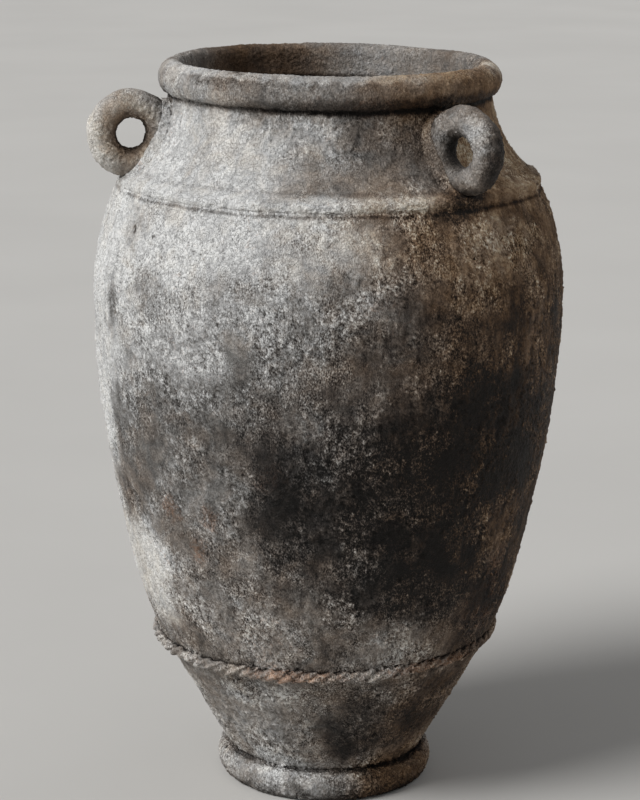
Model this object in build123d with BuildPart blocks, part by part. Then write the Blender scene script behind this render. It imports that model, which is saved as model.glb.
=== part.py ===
from build123d import *
import os
from math import atan2, cos, pi, sin

# Greek pithos: a big storage jar, built up in stages of clay that are luted one on another.
# Millimetres, +Z up, origin on the floor under the middle of the foot.

# How far each stage rises above the one below it
foot_rise = 44.0
lower_wall_rise = 169.0
lower_belly_rise = 217.0
middle_belly_rise = 260.0
shoulder_rise = 152.0
neck_rise = 113.0
rim_rise = 45.0
swell_rise = 77.0          # a station in the lower belly, above its foot
hollow_rise = 48.0         # a station in the hollow of the neck, above its foot

# Outside radii at the joints and at those stations
foot_seat_radius = 135.4   # foot ring to lower wall
seam_radius = 231.0        # lower wall to lower belly, under the rope cordon
swell_radius = 259.0
stage_radius = 290.9       # lower to middle belly
belly_radius = 318.0       # middle belly to shoulder, the widest place
shoulder_radius = 281.0    # shoulder to neck, under the plain cordon
hollow_radius = 239.0
neck_radius = 217.0        # neck to rim

# Leans of the wall, as run out for each unit of rise
seam_lean = 0.40           # lower belly, where it leaves the rope cordon
neck_foot_lean = -1.10     # neck, where it leaves the plain cordon
neck_top_lean = -0.12      # neck, under the rim

# Wall and floor
wall = 21.0                # measured level, from outside to inside
floor_thickness = 30.0
floor_ledge = 10.4         # top of the foot ring left bare inside the wall
slip_film = 0.3            # slip left in a joint between two rounded faces

# Foot ring
foot_overhang = 14.1       # how far it stands out past the foot of the wall
foot_heel_round = 12.5     # how far it rounds in to the floor
foot_swell_height = 24.0   # height of its widest place

# Rolled rim
rim_overhang = 12.5        # how far it stands out past the top of the neck
rim_swell_rise = 20.0      # its widest place, above the top of the neck
lip_width = 11.5           # from the inside of the mouth out to the crest
lip_drop = 14.0            # from the crest down to the straight inside of the mouth

# Rope cordon: a bar of clay with slanting grooves pressed all round, laid a little askew
rope_lift = 2.5            # middle of the bar above the joint that it covers
rope_bar = 17.0            # thickness of the bar
rope_lobes = 75
rope_groove = 10.0         # width of the tool that presses the grooves
rope_groove_depth = 4.0
rope_lay = 52.0            # slant of the grooves away from upright, in degrees
rope_tilt = -1.5           # degrees about Y, higher at +X

# Plain cordon, half sunk in the corner of shoulder and neck
cordon_bar = 21.0
cordon_sink = 8.5          # middle of the bar in from the corner

# Ring handles, upright and square to the wall, set by eye about a third of the way round from each other
ring_bar = 39.2            # thickness of the bar
ring_hole = 38.8
ring_back = 9.6            # bar left behind the hole, at the hollow of the neck
ring_lift = 16.0           # middle of the ring above the hollow of the neck
handle_angles = {"left": 180.0, "front": -65.0, "back": 57.5}
lute_thickness = 5.0       # clay pressed round the root of a ring
lute_rise = 10.0           # how far that clay climbs out from the wall

# Heights of the joints above the floor
seam_height = foot_rise + lower_wall_rise
stage_height = seam_height + lower_belly_rise
belly_height = stage_height + middle_belly_rise
shoulder_height = belly_height + shoulder_rise
collar_height = shoulder_height + neck_rise

# Sizes that follow from the ones above
foot_radius = foot_seat_radius + foot_overhang
foot_bore_radius = foot_seat_radius - wall - floor_ledge
mouth_radius = neck_radius - wall
crest_radius = mouth_radius + lip_width
rim_radius = neck_radius + rim_overhang
cordon_radius = shoulder_radius - cordon_sink
ring_radius = (ring_hole + ring_bar) / 2
ring_reach = hollow_radius + ring_back + ring_hole / 2
ring_height = shoulder_height + hollow_rise + ring_lift


def lower_wall_side(inset):
    return Line((foot_seat_radius - inset, foot_rise), (seam_radius - inset, seam_height))


def lower_belly_side(inset):
    # Runs without a break into the middle belly, whose arc starts upright at the widest place
    turn = 2 * atan2(belly_radius - stage_radius, belly_height - stage_height)
    return Spline(
        (seam_radius - inset, seam_height),
        (swell_radius - inset, seam_height + swell_rise),
        (stage_radius - inset, stage_height),
        tangents=[(seam_lean, 1), (sin(turn), cos(turn))],
    )


def middle_belly_side(inset):
    widest = (belly_radius - inset, belly_height)
    return TangentArc(widest, (stage_radius - inset, stage_height), tangent=(0, -1))


def shoulder_side(inset):
    widest = (belly_radius - inset, belly_height)
    return TangentArc(widest, (shoulder_radius - inset, shoulder_height), tangent=(0, 1))


def neck_side(inset):
    return Spline(
        (shoulder_radius - inset, shoulder_height),
        (hollow_radius - inset, shoulder_height + hollow_rise),
        (neck_radius - inset, collar_height),
        tangents=[(neck_foot_lean, 1), (neck_top_lean, 1)],
    )


def stage(side):
    # One stage of the wall: its side drawn outside and inside, closed by level joints
    with BuildPart() as drum:
        with BuildSketch(Plane.XZ):
            with BuildLine():
                outside = side(0)
                inside = side(wall)
                Line(outside @ 0, inside @ 0)
                Line(outside @ 1, inside @ 1)
            make_face()
        revolve(axis=Axis.Z)
    return drum


def wall_form(growth):
    # The whole outside of the wall as one solid block, larger all round by growth
    with BuildPart() as form:
        with BuildSketch(Plane.XZ):
            with BuildLine():
                low = lower_wall_side(-growth)
                lower_belly_side(-growth)
                middle_belly_side(-growth)
                shoulder_side(-growth)
                high = neck_side(-growth)
                Polyline(low @ 0, (0, foot_rise), (0, collar_height), high @ 1)
            make_face()
        revolve(axis=Axis.Z)
    return form.part


def root_form(growth):
    # What a handle is pressed against: the wall with its plain cordon
    with BuildPart() as form:
        add(wall_form(growth))
        with Locations((0, 0, shoulder_height)):
            Torus(cordon_radius, cordon_bar / 2 + growth)
    return form.part


def ring_place(angle):
    # Middle of a ring, with the ring's axis level and along the wall
    across = Vector(1, 0, 0).rotate(Axis.Z, angle)
    middle = across * ring_reach + Vector(0, 0, ring_height)
    return Plane(origin=middle, x_dir=across, z_dir=across.cross(Vector(0, 0, 1)))


# Foot ring: flat below, rounded outside, level on top where the wall stands on it
with BuildPart() as foot_ring:
    with BuildSketch(Plane.XZ):
        with BuildLine():
            heel = EllipticalCenterArc(
                (foot_radius - foot_heel_round, foot_swell_height),
                foot_heel_round,
                foot_swell_height,
                start_angle=-90,
                arc_size=90,
            )
            instep = EllipticalCenterArc(
                (foot_seat_radius, foot_swell_height),
                foot_overhang,
                foot_rise - foot_swell_height,
                start_angle=0,
                arc_size=90,
            )
            Polyline(instep @ 1, (foot_bore_radius, foot_rise), (foot_bore_radius, 0), heel @ 0)
        make_face()
    revolve(axis=Axis.Z)

# Floor disc: fills the foot ring's hole, flush with its top and hollow below
with BuildPart() as floor_disc:
    with BuildSketch(Plane.XY.offset(foot_rise - floor_thickness)):
        Circle(foot_bore_radius - slip_film)
    extrude(amount=floor_thickness)

# The stages of the wall
lower_wall = stage(lower_wall_side)
lower_belly = stage(lower_belly_side)
middle_belly = stage(middle_belly_side)
shoulder = stage(shoulder_side)
neck = stage(neck_side)

# Rolled rim: overhangs the neck in a quarter ellipse, rolls over in two more, then drops straight inside
with BuildPart() as rim_collar:
    with BuildSketch(Plane.XZ):
        with BuildLine():
            overhang = EllipticalCenterArc(
                (neck_radius, collar_height + rim_swell_rise),
                rim_overhang,
                rim_swell_rise,
                start_angle=-90,
                arc_size=90,
            )
            roll = EllipticalCenterArc(
                (crest_radius, collar_height + rim_swell_rise),
                rim_radius - crest_radius,
                rim_rise - rim_swell_rise,
                start_angle=0,
                arc_size=90,
            )
            lip = EllipticalCenterArc(
                (crest_radius, collar_height + rim_rise - lip_drop),
                crest_radius - mouth_radius,
                lip_drop,
                start_angle=90,
                arc_size=90,
            )
            Polyline(lip @ 1, (mouth_radius, collar_height), overhang @ 0)
        make_face()
    revolve(axis=Axis.Z)

# Rope cordon: a round bar bent into a ring, seated on the wall, then grooved all round
with BuildPart() as rope_cordon:
    rope_place = Location((0, 0, seam_height + rope_lift), (0, rope_tilt, 0))
    lobe_pitch = 2 * pi * seam_radius / rope_lobes
    tool_radius = seam_radius + rope_bar / 2 + rope_groove / 2 - rope_groove_depth
    with Locations(rope_place):
        Torus(seam_radius, rope_bar / 2)
    add(wall_form(slip_film), mode=Mode.SUBTRACT)
    with Locations(rope_place):
        with PolarLocations(tool_radius, rope_lobes):
            Cylinder(rope_groove / 2, 2 * lobe_pitch, rotation=(-rope_lay, 0, 0), mode=Mode.SUBTRACT)

# Plain cordon: a round bar pressed over the joint of shoulder and neck
with BuildPart() as shoulder_cordon:
    with Locations((0, 0, shoulder_height)):
        Torus(cordon_radius, cordon_bar / 2)
    add(wall_form(slip_film), mode=Mode.SUBTRACT)

# Ring handles and the clay round their roots
handle_seat = root_form(slip_film)
lute_skin = root_form(lute_rise)
rings = {}
lutes = {}
for side, angle in handle_angles.items():
    with BuildPart() as ring_handle:
        with Locations(ring_place(angle)):
            Torus(ring_radius, ring_bar / 2)
        add(handle_seat, mode=Mode.SUBTRACT)
    rings[side] = ring_handle

    with BuildPart() as handle_lute:
        with Locations(ring_place(angle)):
            Torus(ring_radius, ring_bar / 2 + lute_thickness)
        add(lute_skin, mode=Mode.INTERSECT)
        add(handle_seat, mode=Mode.SUBTRACT)
        with Locations(ring_place(angle)):
            Torus(ring_radius, ring_bar / 2 + slip_film, mode=Mode.SUBTRACT)
    lutes[side] = handle_lute

pieces = {
    "foot_ring": foot_ring,
    "floor_disc": floor_disc,
    "lower_wall": lower_wall,
    "rope_cordon": rope_cordon,
    "lower_belly": lower_belly,
    "middle_belly": middle_belly,
    "shoulder": shoulder,
    "shoulder_cordon": shoulder_cordon,
    "neck": neck,
    "rim_collar": rim_collar,
}
for side in handle_angles:
    pieces["ring_handle_" + side] = rings[side]
    pieces["handle_lute_" + side] = lutes[side]

os.makedirs("parts", exist_ok=True)
for name, piece in pieces.items():
    piece.part.label = name
    export_step(piece.part, "parts/" + name + ".step")
    print(name, "solids", len(piece.part.solids()), "volume", round(piece.part.volume))
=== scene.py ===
import math
import random
import bpy
import numpy as np
from mathutils import Euler, Matrix, Vector


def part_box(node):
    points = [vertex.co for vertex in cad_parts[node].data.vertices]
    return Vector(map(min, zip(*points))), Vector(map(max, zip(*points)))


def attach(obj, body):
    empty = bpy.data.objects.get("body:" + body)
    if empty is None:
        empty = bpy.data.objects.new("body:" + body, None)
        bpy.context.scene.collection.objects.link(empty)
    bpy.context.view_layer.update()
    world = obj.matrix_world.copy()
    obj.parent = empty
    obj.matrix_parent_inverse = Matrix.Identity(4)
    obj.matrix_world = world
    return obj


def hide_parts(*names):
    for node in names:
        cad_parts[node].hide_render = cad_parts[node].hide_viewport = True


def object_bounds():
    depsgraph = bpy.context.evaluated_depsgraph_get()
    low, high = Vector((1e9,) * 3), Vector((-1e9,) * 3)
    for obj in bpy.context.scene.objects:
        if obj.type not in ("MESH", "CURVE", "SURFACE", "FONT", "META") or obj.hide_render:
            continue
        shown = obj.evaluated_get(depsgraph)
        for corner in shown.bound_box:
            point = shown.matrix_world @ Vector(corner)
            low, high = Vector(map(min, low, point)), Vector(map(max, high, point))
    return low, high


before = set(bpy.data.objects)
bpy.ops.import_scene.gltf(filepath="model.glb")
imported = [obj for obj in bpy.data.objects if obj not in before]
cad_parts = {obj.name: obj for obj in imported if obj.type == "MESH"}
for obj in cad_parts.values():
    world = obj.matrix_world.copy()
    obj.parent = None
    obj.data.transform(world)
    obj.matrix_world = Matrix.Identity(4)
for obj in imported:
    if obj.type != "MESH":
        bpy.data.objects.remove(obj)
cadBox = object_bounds()
random.seed(7)  # hand-made unevenness comes out the same each run
print("frame loaded,", len(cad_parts), "nodes")


def freshSelection():
    if bpy.context.object and bpy.context.object.mode != "OBJECT":
        bpy.ops.object.mode_set(mode="OBJECT")
    bpy.ops.object.select_all(action="DESELECT")


def makeActive(piece):
    freshSelection()
    piece.select_set(True)
    bpy.context.view_layer.objects.active = piece


def applyModifiers(piece):
    makeActive(piece)
    for modifier in list(piece.modifiers):
        bpy.ops.object.modifier_apply(modifier=modifier.name)


def settle(piece):  # place and turn go into the mesh, the object back to the origin
    makeActive(piece)
    bpy.ops.object.transform_apply(location=True, rotation=True, scale=True)


def smoothShade(piece, angle=50):
    makeActive(piece)
    bpy.ops.object.shade_smooth_by_angle(angle=math.radians(angle))


def joined(pieces, name):
    freshSelection()
    for piece in pieces:
        piece.select_set(True)
    bpy.context.view_layer.objects.active = pieces[0]
    bpy.ops.object.join()
    pieces[0].name = name
    return pieces[0]


# one node, its settings, and what goes into it (a node gives its first output)
def addNode(tree, kind, settings, inputs):
    node = tree.nodes.new(kind)
    for name, value in settings.items():
        setattr(node, name, value)
    for name, value in inputs.items():
        value = value.outputs[0] if isinstance(value, bpy.types.Node) else value
        if isinstance(value, bpy.types.NodeSocket):
            tree.links.new(value, node.inputs[name])
        else:
            node.inputs[name].default_value = value
    return node


def toLinear(hexColour):  # sRGB hex to the linear numbers that a shader wants
    parts = [int(hexColour[i:i + 2], 16) / 255 for i in (1, 3, 5)]
    return [p / 12.92 if p <= 0.04045 else ((p + 0.055) / 1.055) ** 2.4 for p in parts] + [1.0]


def skinOf(node, side):  # a turned CAD piece's outline as (radius, height); side 1 is outside, -1 inside
    outline = set()
    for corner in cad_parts[node].data.vertices:
        outward = corner.normal.xy.dot(corner.co.xy.normalized())
        if side * outward > 0.04:
            outline.add((round(corner.co.xy.length, 4), round(corner.co.z, 4)))
    return sorted(outline, key=lambda point: point[1])


def rowsAlong(outline, spacing):  # even rows along an outline, its two ends kept
    points = np.array(outline)
    length = np.concatenate([[0], np.cumsum(np.hypot(*np.diff(points, axis=0).T))])
    stations = np.linspace(0, length[-1], max(2, round(length[-1] / spacing) + 1))
    return list(zip(np.interp(stations, length, points[:, 0]), np.interp(stations, length, points[:, 1])))


def lathe(name, outline, steps):  # an outline drawn point by point, then spun round the jar's axis
    freshSelection()
    bpy.ops.mesh.primitive_plane_add(size=0.01, location=(0, 0, 0))
    piece = bpy.context.object
    piece.name = name
    bpy.ops.object.mode_set(mode="EDIT")
    bpy.ops.mesh.select_mode(type="VERT")
    bpy.ops.mesh.select_all(action="SELECT")
    bpy.ops.mesh.merge(type="CENTER")
    here = (0.0, 0.0)
    for count, (radius, height) in enumerate(outline):
        move = (radius - here[0], 0, height - here[1])
        if count:
            bpy.ops.mesh.extrude_region_move(TRANSFORM_OT_translate={"value": move})
        else:
            bpy.ops.transform.translate(value=move)
        here = (radius, height)
    bpy.ops.mesh.select_all(action="SELECT")
    bpy.ops.mesh.spin(steps=steps, angle=2 * math.pi, center=(0, 0, 0), axis=(0, 0, 1))
    bpy.ops.mesh.select_all(action="SELECT")
    bpy.ops.mesh.remove_doubles(threshold=0.00002)
    bpy.ops.mesh.normals_make_consistent(inside=False)
    bpy.ops.object.mode_set(mode="OBJECT")
    return piece


# Hand-built clay: one relief for the whole jar, so that the pieces run into each other without a step
clayRelief = {
    "unevenWidth": 0.24,    # lumps and hollows left by the hand
    "lumpyWidth": 0.045,    # smaller ones, where a bar was rolled and bent
    "roughWidth": 0.0056,   # coarse slip
    "runWidth": 0.0048,     # slip brushed downwards
    "runLength": 5.0,       # how much longer than wide those strokes are
    "runShare": 0.36,       # how much of the grain those strokes are
    "patchWidth": 0.085,    # rubbed and rough places
    "patchRange": (0.40, 1.25),
    "pitWidth": 0.034,      # spacing of the pits
    "pitDepth": 0.0017,
    "pitsBare": 0.62,       # share of those places without one
    "crumbWidth": 0.0150,   # spacing of the crumbs of clay stuck on
    "crumbHeight": 0.0015,
    "crumbsBare": 0.74,
    "wormWidth": 0.0125,    # spacing of the worm-like ridges
    "wormHeight": 0.0011,
    "rubbedFrom": 0.940,    # height above which hands have rubbed the rim smooth
    "rubbedOver": 0.022,
    "rubbedLeft": 0.52,     # how much of the roughness is left there
}


def reliefTree():
    size = clayRelief
    tree = bpy.data.node_groups.new("clayRelief", "GeometryNodeTree")
    tree.interface.new_socket("Geometry", in_out="INPUT", socket_type="NodeSocketGeometry")
    for name in ("Uneven", "Lumpy", "Rough", "Inset"):
        tree.interface.new_socket(name, in_out="INPUT", socket_type="NodeSocketFloat")
    tree.interface.new_socket("Geometry", in_out="OUTPUT", socket_type="NodeSocketGeometry")
    enter = addNode(tree, "NodeGroupInput", {}, {})
    place = addNode(tree, "GeometryNodeInputPosition", {}, {}).outputs[0]
    normal = addNode(tree, "GeometryNodeInputNormal", {}, {}).outputs[0]
    # broad and middling lumps
    uneven = addNode(tree, "ShaderNodeTexNoise", {}, {"Vector": place, "Scale": 1 / size["unevenWidth"],
        "Detail": 1.0})
    unevenMid = addNode(tree, "ShaderNodeMath", {"operation": "SUBTRACT"}, {0: uneven, 1: 0.5})
    unevenOut = addNode(tree, "ShaderNodeMath", {"operation": "MULTIPLY"},
        {0: unevenMid, 1: enter.outputs["Uneven"]})
    lumpy = addNode(tree, "ShaderNodeTexNoise", {}, {"Vector": place, "Scale": 1 / size["lumpyWidth"],
        "Detail": 1.5})
    lumpyMid = addNode(tree, "ShaderNodeMath", {"operation": "SUBTRACT"}, {0: lumpy, 1: 0.5})
    lumpyOut = addNode(tree, "ShaderNodeMath", {"operation": "MULTIPLY_ADD"}, {
        0: lumpyMid, 1: enter.outputs["Lumpy"], 2: unevenOut})
    # coarse slip, stronger in some places than in others
    rough = addNode(tree, "ShaderNodeTexNoise", {}, {
        "Vector": place, "Scale": 1 / size["roughWidth"], "Detail": 2.0, "Roughness": 0.6, "Distortion": 0.9})
    stroke = addNode(tree, "ShaderNodeVectorMath", {"operation": "MULTIPLY"},
        {0: place, 1: (1, 1, 1 / size["runLength"])})
    runs = addNode(tree, "ShaderNodeTexNoise", {}, {
        "Vector": stroke, "Scale": 1 / size["runWidth"], "Detail": 2.0, "Distortion": 0.3})
    grain = addNode(tree, "ShaderNodeMix", {}, {0: size["runShare"], 2: rough, 3: runs})
    grainMid = addNode(tree, "ShaderNodeMath", {"operation": "SUBTRACT"}, {0: grain, 1: 0.5})
    patch = addNode(tree, "ShaderNodeTexNoise", {}, {"Vector": place, "Scale": 1 / size["patchWidth"],
        "Detail": 2.0})
    patchShare = addNode(tree, "ShaderNodeMapRange", {"interpolation_type": "SMOOTHSTEP"}, {
        "Value": patch, "From Min": 0.36, "From Max": 0.60, "To Min": size["patchRange"][0],
        "To Max": size["patchRange"][1]})
    roughShare = addNode(tree, "ShaderNodeMath", {"operation": "MULTIPLY"}, {0: grainMid, 1: patchShare})
    roughOut = addNode(tree, "ShaderNodeMath", {"operation": "MULTIPLY"},
        {0: roughShare, 1: enter.outputs["Rough"]})
    # pits, and crumbs of clay
    pits = addNode(tree, "ShaderNodeTexVoronoi", {}, {"Vector": place, "Scale": 1 / size["pitWidth"]})
    pitPick = addNode(tree, "ShaderNodeSeparateXYZ", {}, {0: pits.outputs["Color"]})
    pitKept = addNode(tree, "ShaderNodeMath", {"operation": "GREATER_THAN"}, {0: pitPick, 1: size["pitsBare"]})
    pitShape = addNode(tree, "ShaderNodeMapRange", {"interpolation_type": "SMOOTHSTEP"}, {
        "Value": pits.outputs["Distance"], "From Min": 0.05, "From Max": 0.17, "To Min": -size["pitDepth"],
        "To Max": 0.0})
    pitOut = addNode(tree, "ShaderNodeMath", {"operation": "MULTIPLY"}, {0: pitShape, 1: pitKept})
    crumbs = addNode(tree, "ShaderNodeTexVoronoi", {}, {"Vector": place, "Scale": 1 / size["crumbWidth"]})
    crumbPick = addNode(tree, "ShaderNodeSeparateXYZ", {}, {0: crumbs.outputs["Color"]})
    crumbKept = addNode(tree, "ShaderNodeMath", {"operation": "GREATER_THAN"},
        {0: crumbPick.outputs[1], 1: size["crumbsBare"]})
    crumbShape = addNode(tree, "ShaderNodeMapRange", {"interpolation_type": "SMOOTHSTEP"}, {
        "Value": crumbs.outputs["Distance"], "From Min": 0.05, "From Max": 0.26, "To Min": size["crumbHeight"],
        "To Max": 0.0})
    crumbOut = addNode(tree, "ShaderNodeMath", {"operation": "MULTIPLY"}, {0: crumbShape, 1: crumbKept})
    worm = addNode(tree, "ShaderNodeTexNoise", {}, {"Vector": place, "Scale": 1 / size["wormWidth"], "Detail": 1.0,
        "Distortion": 0.6})
    wormMid = addNode(tree, "ShaderNodeMath", {"operation": "SUBTRACT"}, {0: worm, 1: 0.5})
    wormSide = addNode(tree, "ShaderNodeMath", {"operation": "ABSOLUTE"}, {0: wormMid})
    wormShape = addNode(tree, "ShaderNodeMapRange", {"interpolation_type": "SMOOTHSTEP"}, {
        "Value": wormSide, "From Min": 0.0, "From Max": 0.075, "To Min": size["wormHeight"], "To Max": 0.0})
    wormOut = addNode(tree, "ShaderNodeMath", {"operation": "MULTIPLY_ADD"}, {
        0: wormShape, 1: patchShare, 2: crumbOut})
    marks = addNode(tree, "ShaderNodeMath", {"operation": "ADD"}, {0: pitOut, 1: wormOut})
    # what the paint later finds: crests plus, hollows minus, in metres
    coarse = addNode(tree, "ShaderNodeMath", {"operation": "ADD"}, {0: roughOut, 1: marks})
    height = addNode(tree, "ShaderNodeSeparateXYZ", {}, {0: place}).outputs["Z"]
    rubbed = addNode(tree, "ShaderNodeMapRange", {"interpolation_type": "SMOOTHSTEP"}, {
        "Value": height, "From Min": size["rubbedFrom"], "From Max": size["rubbedFrom"] + size["rubbedOver"],
        "To Min": 1.0, "To Max": size["rubbedLeft"]})
    crest = addNode(tree, "ShaderNodeMath", {"operation": "MULTIPLY"}, {0: coarse, 1: rubbed})
    raised = addNode(tree, "ShaderNodeMath", {"operation": "ADD"}, {0: lumpyOut, 1: crest})
    relief = addNode(tree, "ShaderNodeMath", {"operation": "SUBTRACT"}, {0: raised, 1: enter.outputs["Inset"]})
    shift = addNode(tree, "ShaderNodeVectorMath", {"operation": "SCALE"}, {0: normal, "Scale": relief})
    moved = addNode(tree, "ShaderNodeVectorMath", {"operation": "ADD"}, {0: place, 1: shift})
    lowest = addNode(tree, "ShaderNodeVectorMath", {"operation": "MAXIMUM"}, {0: moved, 1: cadBox[0]})
    # never past the CAD box
    boxed = addNode(tree, "ShaderNodeVectorMath", {"operation": "MINIMUM"}, {0: lowest, 1: cadBox[1]})
    keep = addNode(tree, "GeometryNodeStoreNamedAttribute", {"data_type": "FLOAT", "domain": "POINT"}, {
        "Geometry": enter.outputs["Geometry"], "Name": "crest", "Value": crest})
    shaped = addNode(tree, "GeometryNodeSetPosition", {}, {"Geometry": keep, "Position": boxed})
    addNode(tree, "NodeGroupOutput", {}, {0: shaped})
    return tree


reliefGroup = reliefTree()


# sizes: height of broad lumps, of small lumps, of the rough slip, and how far all is set in
def addRelief(piece, sizes):
    modifier = piece.modifiers.new("clayRelief", "NODES")
    modifier.node_group = reliefGroup
    for item in reliefGroup.interface.items_tree:
        if item.in_out == "INPUT" and item.name in sizes:
            modifier[item.identifier] = sizes[item.name]


# The jar's body: foot, floor, wall and rim are spun in one, roughened, then parted where the potter joined them
jarBody = {
    "steps": 180,        # faces round the jar, before each is split in sixteen
    "floorRings": (0, 0.25, 0.5, 0.75, 0.97, 1.0),  # rings of faces in the floor, as shares of its radius
    "creaseRow": 0.0011,  # an extra row this close to a crease keeps it sharp
    "footRow": 0.0055,   # rows of faces along the outline, outside
    "wallRow": 0.0104,
    "neckRow": 0.0085,
    "rimRow": 0.0050,
    "insideRow": 0.040,  # and inside, where little is seen
    "insideTop": 0.018,
    "relief": {"Uneven": 0.0046, "Lumpy": 0.0036, "Rough": 0.0072, "Inset": 0.0012},
}
wallStages = ["lower_wall", "lower_belly", "middle_belly", "shoulder", "neck"]
stageNames = ["floor_disc", "foot_ring"] + wallStages + ["rim_collar"]


def creased(rows, first=True, last=True):  # rows with an extra one close to each end that is a crease
    near = lambda end, other: tuple(e + (o - e) * jarBody["creaseRow"] / math.dist(end, other) for e,
        o in zip(end, other))
    start = [rows[0], near(rows[0], rows[1])] if first else [rows[0]]
    finish = [near(rows[-1], rows[-2]), rows[-1]] if last else [rows[-1]]
    return start + rows[1:-1] + finish


def bodyOutline():
    floorLow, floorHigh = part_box("floor_disc")
    bore = floorHigh.x
    foot = skinOf("foot_ring", 1)
    heel = foot[0][0]
    outline = [(bore * share, floorLow.z) for share in jarBody["floorRings"]]
    outline += [(bore, floorLow.z * 0.4), (bore + 0.001, 0.0), ((bore + heel) / 2, 0.0)]
    outline += creased(rowsAlong([(heel, 0.0)] + foot[1:], jarBody["footRow"]), first=False)
    for stage in wallStages:
        row = jarBody["neckRow"] if stage == "neck" else jarBody["wallRow"]
        rows = rowsAlong(skinOf(stage, 1), row)
        outline += creased(rows, first=stage == "lower_wall", last=stage == "neck")[1:]
    outline += creased(rowsAlong(skinOf("rim_collar", 1), jarBody["rimRow"]), last=False)[1:]
    outline += rowsAlong(skinOf("rim_collar", -1), 0.006)[::-1][1:]
    for stage in wallStages[::-1]:
        row = jarBody["insideTop"] if stage == "neck" else jarBody["insideRow"]
        outline += rowsAlong(skinOf(stage, -1), row)[::-1][1:]
    outline += [(bore * share, floorHigh.z) for share in (1.04,) + jarBody["floorRings"][::-1]]
    return outline


def markStages(piece):  # one stand-in material for each stage, to part the jar by
    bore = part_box("floor_disc")[1].x
    tops = [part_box(name)[1].z for name in stageNames[1:]]
    for name in stageNames:
        piece.data.materials.append(bpy.data.materials.new(name))
    for face in piece.data.polygons:
        if face.center.xy.length < bore * 0.999 and face.center.z < tops[0] + 0.001:
            face.material_index = 0
        else:
            face.material_index = 1 + next(i for i, top in enumerate(tops) if face.center.z < top + 0.0001)


def closeJoint(piece, wanted):  # bridges the open inner and outer rings that are wanted
    makeActive(piece)
    bpy.ops.object.mode_set(mode="EDIT")
    bpy.ops.mesh.select_mode(type="EDGE")
    bpy.ops.mesh.select_all(action="DESELECT")
    bpy.ops.mesh.select_non_manifold(extend=False, use_wire=False, use_multi_face=False, use_non_contiguous=False,
        use_verts=False)
    bpy.ops.object.mode_set(mode="OBJECT")
    for edge in piece.data.edges:
        if edge.select:
            edge.select = wanted(piece.data.vertices[edge.vertices[0]].co)
    bpy.ops.object.mode_set(mode="EDIT")
    bpy.ops.mesh.bridge_edge_loops()
    bpy.ops.mesh.select_all(action="SELECT")
    bpy.ops.mesh.normals_make_consistent(inside=False)
    bpy.ops.object.mode_set(mode="OBJECT")


def makeBody():
    jar = lathe("jar", bodyOutline(), jarBody["steps"])
    markStages(jar)
    refine = jar.modifiers.new("refine", "SUBSURF")
    refine.levels = refine.render_levels = 2
    addRelief(jar, jarBody["relief"])
    applyModifiers(jar)
    print("  jar spun and roughened,", len(jar.data.polygons), "faces")
    makeActive(jar)
    bpy.ops.mesh.separate(type="MATERIAL")
    stages = {piece.material_slots[0].name: piece for piece in bpy.context.selected_objects}
    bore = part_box("floor_disc")[1].x
    for name, piece in stages.items():
        piece.name = {"floor_disc": "floorSlab", "foot_ring": "footRing", "lower_wall": "coneWall",
            "lower_belly": "lowBelly",
                      "middle_belly": "wideBelly", "shoulder": "shoulderWall", "neck": "neckWall",
                      "rim_collar": "rolledRim"}[name]
        piece.data.materials.clear()
        low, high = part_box(name)
        middle = (low.z + high.z) / 2
        if name == "floor_disc":
            closeJoint(piece, lambda place: True)
        elif name == "foot_ring":
            closeJoint(piece, lambda place: place.z < high.z - 0.012 or place.xy.length < bore + 0.006)
            closeJoint(piece, lambda place: True)
        else:
            closeJoint(piece, lambda place: place.z < middle)
            closeJoint(piece, lambda place: place.z > middle)
        smoothShade(piece)
        print("  ", piece.name, len(piece.data.polygons), "faces")
    return stages


body = makeBody()
print("body made,", len(body), "stages")


# Rope cordon: slanting lobes side by side on a thin bar, pressed onto the wall a little askew
rope = {
    "lobes": 75,
    "radius": 0.2310,      # middle of the bar
    "height": 0.2155,
    "askew": -1.5,         # degrees about Y, higher at +X
    "barThick": 0.0108,
    "lobeLong": 0.0420,
    "lobeWide": 0.0106,
    "lobeDeep": 0.0196,
    "slant": 24,           # degrees above level, rising to the right
    "strayAngle": 0.08,    # what the hand varies: place, as a share of the spacing
    "straySlant": 5,       # degrees
    "strayHeight": 0.0008,
    "straySize": (0.92, 1.06),
    "voxel": 0.0014,
    "relief": {"Uneven": 0.0, "Lumpy": 0.0024, "Rough": 0.0028, "Inset": 0.0006},
}


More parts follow.
